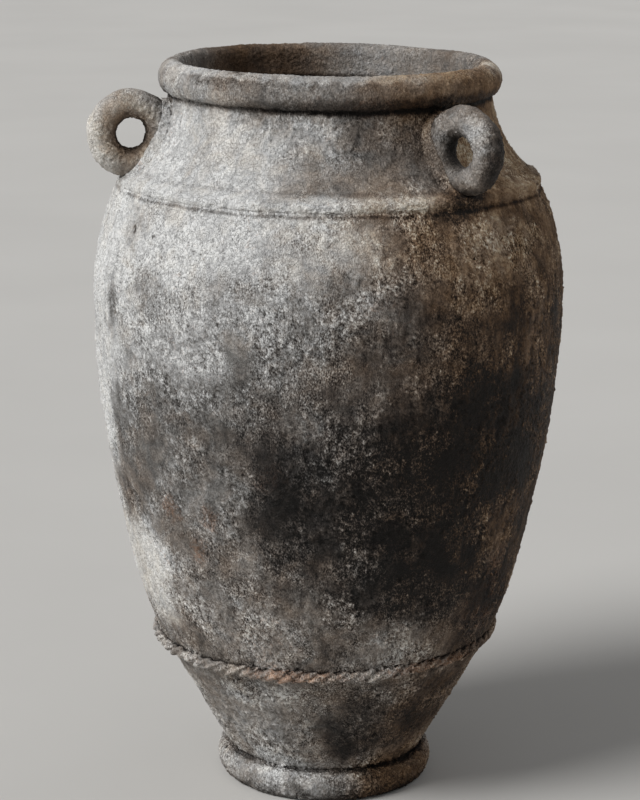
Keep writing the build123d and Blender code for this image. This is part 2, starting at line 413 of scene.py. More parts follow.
def makeRope():
    stray = lambda name: random.uniform(-rope[name], rope[name])
    freshSelection()
    bpy.ops.mesh.primitive_torus_add(major_radius=rope["radius"], minor_radius=rope["barThick"] / 2,
        major_segments=240, minor_segments=16)
    pieces = [bpy.context.object]
    bpy.ops.mesh.primitive_uv_sphere_add(segments=20, ring_count=12, radius=0.5, location=(0, 0, 0))
    first = bpy.context.object
    first.scale = (rope["lobeDeep"], rope["lobeLong"], rope["lobeWide"])
    settle(first)
    for count in range(rope["lobes"]):
        lobe = first.copy()
        lobe.data = first.data.copy()
        bpy.context.collection.objects.link(lobe)
        angle = 2 * math.pi * (count + stray("strayAngle")) / rope["lobes"]
        lobe.rotation_euler = (math.radians(rope["slant"] + stray("straySlant")), 0, angle)
        lobe.location = (rope["radius"] * math.cos(angle), rope["radius"] * math.sin(angle), stray("strayHeight"))
        lobe.scale = [random.uniform(*rope["straySize"]) for axis in range(3)]
        pieces.append(lobe)
    bpy.data.objects.remove(first)
    piece = joined(pieces, "ropeCordon")
    piece.rotation_euler = (0, math.radians(rope["askew"]), 0)
    piece.location = (0, 0, rope["height"])
    settle(piece)
    melt = piece.modifiers.new("melt", "REMESH")
    melt.mode = "VOXEL"
    melt.voxel_size = rope["voxel"]
    soften = piece.modifiers.new("soften", "SMOOTH")
    soften.factor = 0.5
    soften.iterations = 2
    addRelief(piece, rope["relief"])
    applyModifiers(piece)
    smoothShade(piece, 60)
    return piece


# Plain cordon: a bar pressed into the corner of shoulder and neck, its top smoothed up the neck
cordon = {
    "radius": 0.2746,      # middle of the bar
    "thick": 0.0196,
    "height": 0.8418,
    "fairing": 0.0230,     # how far its top runs up the neck
    "valley": ((0.0045, 0.0002), (0.0100, 0.0014)),  # soft valley above the bar: below the top, proud of the neck
    "back": 0.2630,        # hidden back of the bar
    "relief": {"Uneven": 0.0020, "Lumpy": 0.0044, "Rough": 0.0060, "Inset": 0.0008},
}


def makeCordon():
    top = cordon["height"] + cordon["fairing"]
    skin = np.array(skinOf("neck", 1))
    neckAt = lambda height: np.interp(height, skin[:, 1], skin[:, 0])
    outline = [(neckAt(top) - 0.0015, top)]
    outline += [(neckAt(top - below) + proud, top - below) for below, proud in cordon["valley"]]
    for degrees in range(60, -91, -15):
        turn = math.radians(degrees)
        outline.append((cordon["radius"] + cordon["thick"] / 2 * math.cos(turn),
            cordon["height"] + cordon["thick"] / 2 * math.sin(turn)))
    outline += [(cordon["back"], cordon["height"] - 0.004), (neckAt(top) - 0.010, top - 0.006)]
    piece = lathe("shoulderCordon", outline + outline[:1], 360)
    refine = piece.modifiers.new("refine", "SUBSURF")
    refine.levels = refine.render_levels = 1
    addRelief(piece, cordon["relief"])
    applyModifiers(piece)
    smoothShade(piece, 60)
    return piece


# Ring handles: a fat bar bent round and pressed against the neck, its root smeared over with wet clay
handle = {
    "angles": {"left": 180.0, "front": -65.0, "back": 57.5},  # degrees round from +X
    "reach": 0.2680,       # middle of the ring, out from the jar's axis
    "height": 0.9060,
    "ringRadius": 0.0390,
    "bar": 0.0392,
    "cutIn": 0.2220,       # what lies inside the wall is cut off here
    "faces": (72, 144),    # round the bar, round the ring
    "turn": {"left": 0.0, "front": 7.0, "back": 0.0},  # degrees away from square to the wall
    "relief": {"Uneven": 0.0, "Lumpy": 0.0064, "Rough": 0.0042, "Inset": 0.0006},
}
lute = {
    "faces": (48, 96),
    # how thick round the bar, how far out from the wall
    "skirts": ((0.0620, 0.0015), (0.0560, 0.0040), (0.0510, 0.0075), (0.0465, 0.0120)),
    "keyed": 0.0090,       # how deep it grips into the wall
    "voxel": 0.0018,
    "soften": 16,
    "relief": {"Uneven": 0.0, "Lumpy": 0.0034, "Rough": 0.0062, "Inset": 0.0020},
}


def ringAt(side, bar, faces):
    angle = math.radians(handle["angles"][side])
    freshSelection()
    bpy.ops.mesh.primitive_torus_add(
        location=(handle["reach"] * math.cos(angle), handle["reach"] * math.sin(angle), handle["height"]),
        rotation=(math.pi / 2, 0, angle + math.radians(handle["turn"][side])), major_radius=handle["ringRadius"],
            minor_radius=bar / 2,
        major_segments=faces[1], minor_segments=faces[0])
    piece = bpy.context.object
    settle(piece)
    return piece


def makeHandle(side):
    angle = math.radians(handle["angles"][side])
    out = Vector((math.cos(angle), math.sin(angle), 0))
    piece = ringAt(side, handle["bar"], handle["faces"])
    piece.name = "ringHandle" + side.title()
    addRelief(piece, handle["relief"])
    applyModifiers(piece)
    bpy.ops.object.mode_set(mode="EDIT")
    bpy.ops.mesh.select_all(action="SELECT")
    bpy.ops.mesh.bisect(plane_co=out * handle["cutIn"], plane_no=out, use_fill=True, clear_inner=True)
    bpy.ops.mesh.select_all(action="SELECT")
    bpy.ops.mesh.normals_make_consistent(inside=False)
    bpy.ops.object.mode_set(mode="OBJECT")
    smoothShade(piece, 60)
    return piece


def makeLute(side):
    skirts = []
    for bar, climb in lute["skirts"]:
        skirt = ringAt(side, bar, lute["faces"])
        wallSkin = rowsAlong(skinOf("shoulder", 1)[-8:] + skinOf("neck", 1)[1:], 0.008)
        skin = [(r - lute["keyed"], z) for r, z in wallSkin[::-1]] + [(r + climb, z) for r, z in wallSkin]
        wallBlock = lathe("wallBlock", skin + [skin[0]], 120)
        overlap = skirt.modifiers.new("overlap", "BOOLEAN")
        overlap.operation = "INTERSECT"
        overlap.object = wallBlock
        overlap.solver = "EXACT"
        applyModifiers(skirt)
        bpy.data.objects.remove(wallBlock)
        skirts.append(skirt)
    piece = joined(skirts, "handleLute" + side.title())
    melt = piece.modifiers.new("melt", "REMESH")
    melt.mode = "VOXEL"
    melt.voxel_size = lute["voxel"]
    soften = piece.modifiers.new("soften", "SMOOTH")
    soften.factor = 0.5
    soften.iterations = lute["soften"]
    addRelief(piece, lute["relief"])
    applyModifiers(piece)
    smoothShade(piece, 60)
    return piece


ropeCordon = makeRope()
print("rope cordon made,", len(ropeCordon.data.polygons), "faces")
plainCordon = makeCordon()
handles = {side: makeHandle(side) for side in handle["angles"]}
lutes = {side: makeLute(side) for side in handle["angles"]}
print("cordon, handles and their roots made")


# Washes of age, with painted light and shade among them, broad ones first: (degrees round from the photograph's side,
# height, half width, half height, tone, strength), and for what stands off the wall, how far out
photoSide = -104.0  # degrees round from +X
bareTone = 0.50
toneWashes = {
    "backUpper": (178, 0.800, 0.300, 0.160, 0.66, 0.9), "backLower": (-160, 0.420, 0.300, 0.220, 0.44, 0.8),
    "shoulderLeft": (-50, 0.795, 0.240, 0.125, 0.82, 1.0), "shoulderFront": (-12, 0.800, 0.150, 0.055, 0.77, 0.9),
    "neckLeft": (-42, 0.905, 0.140, 0.075, 0.80, 1.0), "bellyLeft": (-52, 0.680, 0.170, 0.080, 0.67, 0.9),
    "bellyNearLeft": (-24, 0.690, 0.100, 0.070, 0.62, 0.8), "leftEdge": (-84, 0.640, 0.130, 0.260, 0.91, 0.95),
    "lowLeft": (-50, 0.420, 0.125, 0.120, 0.44, 0.8), "lowLeftEdge": (-66, 0.330, 0.090, 0.080, 0.95, 0.95),
    "bellyRight": (32, 0.670, 0.180, 0.110, 0.26, 0.95), "rightSide": (74, 0.525, 0.280, 0.320, 0.19, 0.95),
    "shoulderRight": (47, 0.790, 0.185, 0.068, 0.46, 0.9), "neckRight": (52, 0.905, 0.175, 0.075, 0.60, 0.9),
    "bellyLow": (-2, 0.620, 0.150, 0.070, 0.41, 0.8), "lowFront": (-8, 0.370, 0.150, 0.090, 0.49, 0.9),
    "smokeLeft": (-26, 0.560, 0.135, 0.065, 0.39, 0.95), "smokeHeart": (15, 0.470, 0.185, 0.135, 0.05, 1.0),
    "smokeRight": (46, 0.520, 0.150, 0.110, 0.02, 1.0), "smokeLow": (26, 0.345, 0.120, 0.070, 0.05, 0.95),
    "smokeEdge": (-8, 0.480, 0.065, 0.075, 0.08, 0.95), "lowRight": (60, 0.290, 0.080, 0.080, 0.10, 0.9),
    "smokeSpot": (25, 0.606, 0.022, 0.022, 0.15, 1.0),
    "coneFront": (-10, 0.130, 0.120, 0.090, 0.50, 0.8), "coneLeft": (-45, 0.150, 0.100, 0.080, 0.58, 0.8),
    "coneSmoke": (14, 0.125, 0.055, 0.072, 0.12, 0.95), "coneRight": (48, 0.135, 0.110, 0.095, 0.19, 0.95),
    "footLeft": (-30, 0.025, 0.120, 0.040, 0.68, 0.9), "footRight": (48, 0.025, 0.110, 0.040, 0.31, 0.9),
    "rimLeft": (-70, 0.975, 0.150, 0.040, 0.66, 0.9), "rimFront": (4, 0.975, 0.130, 0.040, 0.44, 0.8),
    "rimRight": (52, 0.975, 0.140, 0.040, 0.41, 0.9), "rimSmoke": (-40, 0.999, 0.080, 0.018, 0.34, 0.8),
    "mouthChalk": (83, 0.998, 0.030, 0.018, 0.78, 0.9), "neckDrips": (-6, 0.925, 0.030, 0.048, 0.64, 0.9),
    "neckSmoke": (10, 0.925, 0.026, 0.040, 0.37, 0.95), "pittedLeft": (-62, 0.700, 0.014, 0.032, 0.45, 0.7),
    "edgeSmoke": (-60, 0.535, 0.050, 0.055, 0.40, 0.8),
    "neckTan": (23, 0.910, 0.060, 0.055, 0.40, 0.9), "cordonFront": (2, 0.846, 0.130, 0.010, 0.76, 0.8),
    "shoulderSmoke": (22, 0.805, 0.055, 0.030, 0.36, 0.7), "backSmoke": (150, 0.560, 0.130, 0.100, 0.24, 0.9),
    # painted shade on the rim's lower half, and painted highlights along its top edge
    "rimUnder": (38, 0.960, 0.190, 0.013, 0.15, 0.85), "rimUnderFront": (-8, 0.960, 0.090, 0.011, 0.26, 0.7),
    "rimEdge": (4, 0.996, 0.120, 0.007, 0.72, 0.8), "rimEdgeRight": (40, 0.994, 0.080, 0.007, 0.58, 0.75),
    "rimEdgeLeft": (-48, 0.997, 0.110, 0.007, 0.82, 0.8),
    # painted shade on the left of the mouth's inner wall, away from the light
    "mouthLeft": (-150, 0.970, 0.090, 0.060, 0.30, 0.9, 0.190),
    # painted shadow under the front ring, on its underside and on the wall below it
    "ringUnder": (38, 0.846, 0.042, 0.022, 0.16, 0.95, 0.290), "underRing": (33, 0.830, 0.040, 0.018, 0.20, 0.8),
    "ringFoot": (29.5, 0.893, 0.031, 0.052, 0.40, 0.85), "rootClump": (-75, 0.856, 0.016, 0.014, 0.36, 0.85, 0.262),
    "footChalkLeft": (-28, 0.032, 0.016, 0.009, 0.80, 0.7), "footChalkFront": (-3, 0.031, 0.018, 0.008, 0.76, 0.7),
    "footDirt": (-13, 0.016, 0.016, 0.010, 0.36, 0.7), "footDirtRight": (12, 0.020, 0.018, 0.014, 0.34, 0.8),
    "gouge": (-56, 0.798, 0.0034, 0.0030, 0.36, 0.8), "gougeSmall": (-48, 0.793, 0.0028, 0.0024, 0.40, 0.8),
    "chip": (-16, 0.176, 0.007, 0.006, 0.88, 0.95), "lump": (5, 0.238, 0.014, 0.008, 0.62, 0.8),
    "bellyMid": (0, 0.680, 0.070, 0.060, 0.42, 0.7), "bellyMidRight": (19, 0.690, 0.070, 0.075, 0.26, 0.85),
    # painted light on the right of the mouth's inner wall
    "mouthRight": (150, 0.968, 0.080, 0.050, 0.60, 0.8, 0.190),
    "backChalk": (-125, 0.640, 0.120, 0.110, 0.72, 0.8), "coneBack": (170, 0.140, 0.110, 0.070, 0.28, 0.8),
}
bareWarmth = 0.20
warmWashes = {
    "leftCool": (-50, 0.700, 0.300, 0.300, 0.0, 0.95), "rightSide": (72, 0.600, 0.300, 0.420, 1.00, 1.0),
    "shoulderRight": (46, 0.800, 0.190, 0.100, 0.90, 0.9), "neckRight": (62, 0.910, 0.150, 0.080, 1.00, 1.0),
    "rimRight": (50, 0.975, 0.150, 0.050, 0.95, 1.0), "coneRight": (55, 0.130, 0.120, 0.110, 0.80, 0.9),
    "footRight": (50, 0.020, 0.110, 0.050, 1.00, 1.0), "smokeCool": (-24, 0.540, 0.130, 0.080, 0.10, 0.8),
    "back": (150, 0.500, 0.300, 0.300, 0.60, 0.7), "footLeft": (-28, 0.020, 0.120, 0.045, 0.0, 1.0),
    # the first wash on the next line browns the painted shade on the left of the mouth's inner wall
    "mouthLeft": (-150, 0.970, 0.090, 0.060, 0.95, 0.9, 0.190), "ringFoot": (30, 0.890, 0.044, 0.058, 0.25, 0.9),
}
rustWashes = {
    "leftHigh": (-44, 0.436, 0.022, 0.026, 0.50, 0.9), "leftMiddle": (-31, 0.435, 0.016, 0.024, 0.45, 0.9),
    "leftLow": (-36, 0.386, 0.022, 0.026, 0.50, 0.9), "front": (-13, 0.500, 0.026, 0.026, 0.45, 0.8),
    "rightEdge": (58, 0.290, 0.080, 0.080, 0.45, 0.8), "rimFront": (18, 0.962, 0.080, 0.018, 0.35, 0.7),
    "ropePeach": (-9, 0.213, 0.080, 0.012, 0.46, 0.9), "ropeRight": (36, 0.216, 0.080, 0.010, 0.38, 0.8),
    "ringRoot": (-74, 0.858, 0.020, 0.018, 0.40, 0.9, 0.258), "lowFront": (-6, 0.260, 0.120, 0.050, 0.22, 0.8),
    "back": (175, 0.560, 0.060, 0.050, 0.45, 0.8),
}
grainWashes = {
    "neck": (-20, 0.905, 0.240, 0.070, 0.54, 0.9), "rim": (0, 0.980, 0.300, 0.034, 0.46, 0.95),
    "mouth": (180, 0.960, 0.260, 0.080, 0.36, 0.95, 0.190), "low": (0, 0.300, 0.220, 0.080, 1.30, 0.9),
    "smoke": (18, 0.450, 0.200, 0.150, 1.60, 0.9), "right": (70, 0.550, 0.220, 0.300, 1.35, 0.9),
    "foot": (-20, 0.022, 0.160, 0.030, 1.10, 1.0), "footRight": (50, 0.022, 0.090, 0.032, 0.55, 0.95),
    "smokeLeft": (-35, 0.480, 0.160, 0.130, 0.74, 0.9),
}
# what only the rings carry: pale where the light slip caught, a painted highlight on the front ring's lit face, and
# painted shade in the holes and on the side away from the window
ringWashes = {
    "Tone": {
        "ringLeft": (-76, 0.906, 0.085, 0.075, 0.70, 0.95, 0.268),
        "ringLeftPale": (-76, 0.915, 0.034, 0.055, 0.80, 0.9, 0.332),
        "ringFront": (39, 0.906, 0.085, 0.075, 0.53, 0.95, 0.268),
        "ringBack": (161, 0.906, 0.060, 0.070, 0.52, 0.9, 0.290),
        # a painted highlight on the front ring's lit face, painted shade on its far side, and painted shade inside both
        # holes
        "ringFrontHighlight": (36, 0.925, 0.024, 0.040, 0.65, 0.8, 0.310),
        "ringShade": (42.5, 0.884, 0.038, 0.078, 0.10, 0.95, 0.327),
        "ringLeftHoleShade": (-76, 0.908, 0.038, 0.038, 0.32, 0.85, 0.278),
        "ringFrontHoleShade": (38, 0.906, 0.020, 0.026, 0.22, 0.8, 0.256),
        "ringLeftLow": (-76, 0.872, 0.022, 0.022, 0.72, 0.8, 0.250),
    },
    "Warmth": {"ringLeft": (-76, 0.906, 0.050, 0.055, 0.70, 0.9, 0.280),
    "ringFront": (39, 0.906, 0.085, 0.075, 0.08, 0.95, 0.268)},
    "Grain": {"rings": (-76, 0.906, 0.085, 0.075, 0.45, 1.0, 0.268),
    "ringFront": (39, 0.906, 0.085, 0.075, 0.45, 1.0, 0.268)},
}
washEdge = {
    "wanderWidth": 0.075, "wander": 0.080, "frayWidth": 0.014, "fray": 0.022,
    "full": 0.40, "gone": 1.35,            # a wash is whole out to this share of its half width, and gone at that
    "markWide": 0.045, "markHigh": 0.030,  # a wash smaller than this is a mark, and keeps its place
}
wallHeights = [0, 0.05, 0.21, 0.43, 0.69, 0.84, 0.89, 1.0]  # where the washes lie on the wall
wallRadii = [0.145, 0.14, 0.23, 0.29, 0.318, 0.281, 0.239, 0.215]


def overlay(tree, field, wash, edge):  # one wash mixed over what is there already
    around, height, halfWidth, halfHeight, level, strength, *out = wash
    angle = math.radians(photoSide + around)
    reach = np.interp(height, wallHeights, wallRadii)
    reach, deep = (out[0], halfWidth) if out else (reach, max(halfWidth, 0.05))
    local = addNode(tree, "ShaderNodeMapping", {"vector_type": "TEXTURE"}, {
        "Vector": edge, "Location": (reach * math.cos(angle), reach * math.sin(angle), height),
        "Rotation": (0, 0, angle), "Scale": (deep, halfWidth, halfHeight)})
    distance = addNode(tree, "ShaderNodeVectorMath", {"operation": "LENGTH"}, {0: local})
    share = addNode(tree, "ShaderNodeMapRange", {"interpolation_type": "SMOOTHSTEP"}, {
        "Value": distance.outputs["Value"], "From Min": washEdge["full"], "From Max": washEdge["gone"],
        "To Min": strength, "To Max": 0.0})
    return addNode(tree, "ShaderNodeMix", {}, {0: share, 2: field, 3: level}).outputs[0]


def washTree(treeName, more):  # all washes of the jar, and more over them by field
    tree = bpy.data.node_groups.new(treeName, "ShaderNodeTree")
    fields = {"Tone": (bareTone, toneWashes), "Warmth": (bareWarmth, warmWashes), "Rust": (0.0, rustWashes),
        "Grain": (1.0, grainWashes)}
    fields = {name: (bare, list(washes.values()) + list(more.get(name, {}).values())) for name,
        (bare, washes) in fields.items()}
    for name in fields:
        tree.interface.new_socket(name, in_out="OUTPUT", socket_type="NodeSocketFloat")
    leave = addNode(tree, "NodeGroupOutput", {}, {})
    place = addNode(tree, "ShaderNodeTexCoord", {}, {}).outputs["Object"]
    # edges wander, and fray a little
    wander = addNode(tree, "ShaderNodeTexNoise", {}, {
        "Vector": place, "Scale": 1 / washEdge["wanderWidth"], "Detail": 3.0, "Roughness": 0.6})
    wanderMid = addNode(tree, "ShaderNodeVectorMath", {"operation": "SUBTRACT"},
        {0: wander.outputs["Color"], 1: (0.5, 0.5, 0.5)})
    wanderOut = addNode(tree, "ShaderNodeVectorMath", {"operation": "SCALE"},
        {0: wanderMid, "Scale": washEdge["wander"]})
    wandered = addNode(tree, "ShaderNodeVectorMath", {"operation": "ADD"}, {0: place, 1: wanderOut})
    fray = addNode(tree, "ShaderNodeTexNoise", {}, {"Vector": place, "Scale": 1 / washEdge["frayWidth"],
        "Detail": 2.0})
    frayMid = addNode(tree, "ShaderNodeVectorMath", {"operation": "SUBTRACT"},
        {0: fray.outputs["Color"], 1: (0.5, 0.5, 0.5)})
    frayOut = addNode(tree, "ShaderNodeVectorMath", {"operation": "SCALE"}, {0: frayMid, "Scale": washEdge["fray"]})
    frayed = addNode(tree, "ShaderNodeVectorMath", {"operation": "ADD"}, {0: wandered, 1: frayOut})
    isMark = lambda wash: len(wash) > 6 or wash[2] < washEdge["markWide"] or wash[3] < washEdge["markHigh"]
    laid = {}
    for name, (bare, washes) in fields.items():
        laid[name] = bare
        for wash in washes:
            laid[name] = laid[name] if isMark(wash) else overlay(tree, laid[name], wash, frayed)
    # small marks lie on top and stay where they are put, and fray more on chalk than on smoke
    frayShare = addNode(tree, "ShaderNodeMapRange", {}, {"Value": laid["Tone"], "From Min": 0.1, "From Max": 0.6,
        "To Min": 0.6, "To Max": 1.0})
    frayMark = addNode(tree, "ShaderNodeVectorMath", {"operation": "SCALE"}, {0: frayOut, "Scale": frayShare})
    steady = addNode(tree, "ShaderNodeVectorMath", {"operation": "ADD"}, {0: place, 1: frayMark})
    for name, (bare, washes) in fields.items():
        for wash in washes:
            laid[name] = overlay(tree, laid[name], wash, steady) if isMark(wash) else laid[name]
        tree.links.new(laid[name], leave.inputs[name])
    return tree


wallWashes = washTree("wallWashes", {})
handleWashes = washTree("handleWashes", ringWashes)

# Fired earthenware, lime-washed and smoked. The eye sees chalk on the crests and painted shade in the hollows of a
# rough slip: neutral greys where the lime lies, brown where earth has stained it, near black where smoke has. All matt,
# the smoke a little less so
clayLook = {
    "neutral": [(0.05, "#12100e"), (0.20, "#353230"), (0.35, "#5a5754"), (0.50, "#817f7c"), (0.65, "#a7a6a5"),
    (0.80, "#cdcdcc"), (0.95, "#e9e9e7")],
    "warm": [(0.05, "#150e08"), (0.20, "#3a2a1c"), (0.35, "#664e38"), (0.50, "#8e7358"), (0.65, "#b2987a"),
    (0.80, "#d2bfa2"), (0.95, "#ebdfca")],
    "rust": "#dfab84",
    # widths in metres; the finest grit is drawn coarser than it is, so that it shows
    "grit": 0.0016, "fineGrain": 0.0022, "brushed": 0.55, "grain": 0.0062, "speck": 0.0046, "fibre": 0.0105,
    "mottle": 0.085, "cloud": 0.030, "zone": 0.055, "streakWide": 0.013, "streakLong": 6.0,
    # how much of each, in steps of tone
    "fineShare": 0.55, "grainShare": 0.22, "mottleDepth": 0.72, "cloudDepth": 0.46, "streakDepth": (0.26, 0.46),
    "speckled": (0.34, 1.5), "gritDepth": 0.78, "speckDepth": 0.11, "fibreDepth": 0.11, "fleckDepth": 0.09,
    "mottleWarmth": -0.9, "cloudWarmth": 0.70, "rustFrom": 0.80, "rustOver": 0.60, "rustMost": 0.75,
    "roughness": (0.58, 0.92), "bumpDepth": 0.0042, "fibreBump": 2.2,
    # painted shade lines in the creases under the rim, under and above the cordon and at the foot: height, half width,
    # how dark
    "creaseShades": [(0.9535, 0.0060, 0.24), (0.8325, 0.0042, 0.24), (0.0445, 0.0055, 0.22)],
    "cordonCreaseShades": [(0.8580, 0.0060, 0.12), (0.8325, 0.0042, 0.24)],
}


def clay(name, toneShift=0.0, rustShift=0.0, paintedShadeReach=0.030, paintedShadeFrom=0.85, paintedShadeDepth=0.30, creaseShades=(),
    washGroup=wallWashes):
    look = clayLook
    material = bpy.data.materials.new(name)
    material.use_nodes = True
    tree = material.node_tree
    tree.nodes.clear()
    place = addNode(tree, "ShaderNodeTexCoord", {}, {}).outputs["Object"]
    washes = addNode(tree, "ShaderNodeGroup", {"node_tree": washGroup}, {})
    brushed = addNode(tree, "ShaderNodeVectorMath", {"operation": "MULTIPLY"},
        {0: place, 1: (1, 1, look["brushed"])})
    fine = addNode(tree, "ShaderNodeTexNoise", {}, {"Vector": brushed, "Scale": 1 / look["fineGrain"],
        "Detail": 2.0, "Roughness": 0.6, "Distortion": 0.8})
    grit = addNode(tree, "ShaderNodeTexNoise", {}, {"Vector": brushed, "Scale": 1 / look["grit"], "Detail": 1.0,
        "Distortion": 0.4})
    grain = addNode(tree, "ShaderNodeTexNoise", {}, {"Vector": place, "Scale": 1 / look["grain"], "Detail": 3.0,
        "Roughness": 0.6, "Distortion": 1.0})
    mottle = addNode(tree, "ShaderNodeTexNoise", {}, {"Vector": place, "Scale": 1 / look["mottle"], "Detail": 8.0,
        "Roughness": 0.66, "Distortion": 0.3})
    cloud = addNode(tree, "ShaderNodeTexNoise", {}, {"Vector": place, "Scale": 1 / look["cloud"], "Detail": 3.0,
        "Roughness": 0.6, "Distortion": 0.8})
    zone = addNode(tree, "ShaderNodeTexNoise", {}, {"Vector": place, "Scale": 1 / look["zone"], "Detail": 4.0,
        "Roughness": 0.6})
    drawn = addNode(tree, "ShaderNodeVectorMath", {"operation": "MULTIPLY"},
        {0: place, 1: (1, 1, 1 / look["streakLong"])})
    streak = addNode(tree, "ShaderNodeTexNoise", {}, {"Vector": drawn, "Scale": 1 / look["streakWide"],
        "Detail": 3.0, "Roughness": 0.6})
    crest = addNode(tree, "ShaderNodeAttribute", {"attribute_name": "crest"}, {})
    crestShare = addNode(tree, "ShaderNodeMapRange", {}, {"Value": crest.outputs["Fac"], "From Min": -0.0016,
        "From Max": 0.0016})
    # how the dry brush catches: crests first, then the finer grain; lime lightens the crests and painted shade darkens
    # the hollows
    catchA = addNode(tree, "ShaderNodeMix", {}, {0: look["fineShare"], 2: crestShare, 3: fine})
    catch = addNode(tree, "ShaderNodeMix", {}, {0: look["grainShare"], 2: catchA, 3: grain})
    limeAndHollowShade = addNode(tree, "ShaderNodeMath", {"operation": "SUBTRACT"}, {0: catch, 1: 0.5})
    # the tone: washes, then patches, downward streaks and grain, all weaker in the smoke
    depth = addNode(tree, "ShaderNodeMapRange", {}, {"Value": washes.outputs["Tone"], "From Min": 0.12,
        "From Max": 0.46, "To Min": 0.70, "To Max": 1.0})
    mottleMid = addNode(tree, "ShaderNodeMath", {"operation": "SUBTRACT"}, {0: mottle, 1: 0.5})
    mottleOut = addNode(tree, "ShaderNodeMath", {"operation": "MULTIPLY"}, {0: mottleMid, 1: look["mottleDepth"]})
    streakMid = addNode(tree, "ShaderNodeMath", {"operation": "SUBTRACT"}, {0: streak, 1: 0.5})
    streakSize = addNode(tree, "ShaderNodeMapRange", {}, {"Value": washes.outputs["Warmth"],
        "To Min": look["streakDepth"][0], "To Max": look["streakDepth"][1]})
    streakOut = addNode(tree, "ShaderNodeMath", {"operation": "MULTIPLY_ADD"},
        {0: streakMid, 1: streakSize, 2: mottleOut})
    cloudMid = addNode(tree, "ShaderNodeMath", {"operation": "SUBTRACT"}, {0: cloud, 1: 0.5})
    cloudOut = addNode(tree, "ShaderNodeMath", {"operation": "MULTIPLY_ADD"},
        {0: cloudMid, 1: look["cloudDepth"], 2: streakOut})
    speckled = addNode(tree, "ShaderNodeMapRange", {"interpolation_type": "SMOOTHSTEP"}, {
        "Value": zone, "From Min": 0.38, "From Max": 0.62, "To Min": look["speckled"][0],
        "To Max": look["speckled"][1]})
    # lime on the crests and painted shade in the hollows, stronger where speckled
    grainOut = addNode(tree, "ShaderNodeMath", {"operation": "MULTIPLY_ADD"},
        {0: limeAndHollowShade, 1: speckled, 2: cloudOut})
    gritMid = addNode(tree, "ShaderNodeMath", {"operation": "SUBTRACT"}, {0: grit, 1: 0.5})
    gritSize = addNode(tree, "ShaderNodeMath", {"operation": "MULTIPLY"}, {0: speckled, 1: look["gritDepth"]})
    gritOut = addNode(tree, "ShaderNodeMath", {"operation": "MULTIPLY_ADD"}, {0: gritMid, 1: gritSize, 2: grainOut})
    # single grains: some pale, some fallen out and dark
    warp = addNode(tree, "ShaderNodeVectorMath", {"operation": "SCALE"},
        {0: fine.outputs["Color"], "Scale": 0.0022})
    warped = addNode(tree, "ShaderNodeVectorMath", {"operation": "ADD"}, {0: place, 1: warp})
    speck = addNode(tree, "ShaderNodeTexVoronoi", {}, {"Vector": warped, "Scale": 1 / look["speck"]})
    speckPick = addNode(tree, "ShaderNodeSeparateXYZ", {}, {0: speck.outputs["Color"]})
    pale = addNode(tree, "ShaderNodeMath", {"operation": "GREATER_THAN"}, {0: speckPick, 1: 0.70})
    fallen = addNode(tree, "ShaderNodeMath", {"operation": "LESS_THAN"}, {0: speckPick, 1: 0.30})
    paleOrNot = addNode(tree, "ShaderNodeMath", {"operation": "SUBTRACT"}, {0: pale, 1: fallen})
    speckSize = addNode(tree, "ShaderNodeMath", {"operation": "MULTIPLY"}, {0: paleOrNot, 1: speckled})
    speckShape = addNode(tree, "ShaderNodeMapRange", {"interpolation_type": "SMOOTHSTEP"}, {
        "Value": speck.outputs["Distance"], "From Min": 0.20, "From Max": 0.44, "To Min": look["speckDepth"],
        "To Max": 0.0})
    specks = addNode(tree, "ShaderNodeMath", {"operation": "MULTIPLY_ADD"}, {
        0: speckShape, 1: speckSize, 2: gritOut})
    # thin crusty lines where wet slip dragged
    fibre = addNode(tree, "ShaderNodeTexNoise", {}, {"Vector": warped, "Scale": 1 / look["fibre"], "Detail": 2.0,
        "Distortion": 1.4})
    fibreMid = addNode(tree, "ShaderNodeMath", {"operation": "SUBTRACT"}, {0: fibre, 1: 0.5})
    fibreSide = addNode(tree, "ShaderNodeMath", {"operation": "ABSOLUTE"}, {0: fibreMid})
    fibreShape = addNode(tree, "ShaderNodeMapRange", {"interpolation_type": "SMOOTHSTEP"}, {
        "Value": fibreSide, "From Min": 0.0, "From Max": 0.040, "To Min": look["fibreDepth"], "To Max": 0.0})
    fibres = addNode(tree, "ShaderNodeMath", {"operation": "MULTIPLY_ADD"}, {
        0: fibreShape, 1: speckled, 2: specks})
    fleckSize = addNode(tree, "ShaderNodeMath", {"operation": "MULTIPLY"}, {0: speckled, 1: look["fleckDepth"]})
    flecks = addNode(tree, "ShaderNodeMapRange", {"interpolation_type": "SMOOTHSTEP"}, {
        "Value": catch, "From Min": 0.58, "From Max": 0.76, "To Max": fleckSize})
    flecked = addNode(tree, "ShaderNodeMath", {"operation": "ADD"}, {0: fibres, 1: flecks})
    strength = addNode(tree, "ShaderNodeMath", {"operation": "MULTIPLY"}, {0: depth, 1: washes.outputs["Grain"]})
    varied = addNode(tree, "ShaderNodeMath", {"operation": "MULTIPLY_ADD"},
        {0: flecked, 1: strength, 2: washes.outputs["Tone"]})
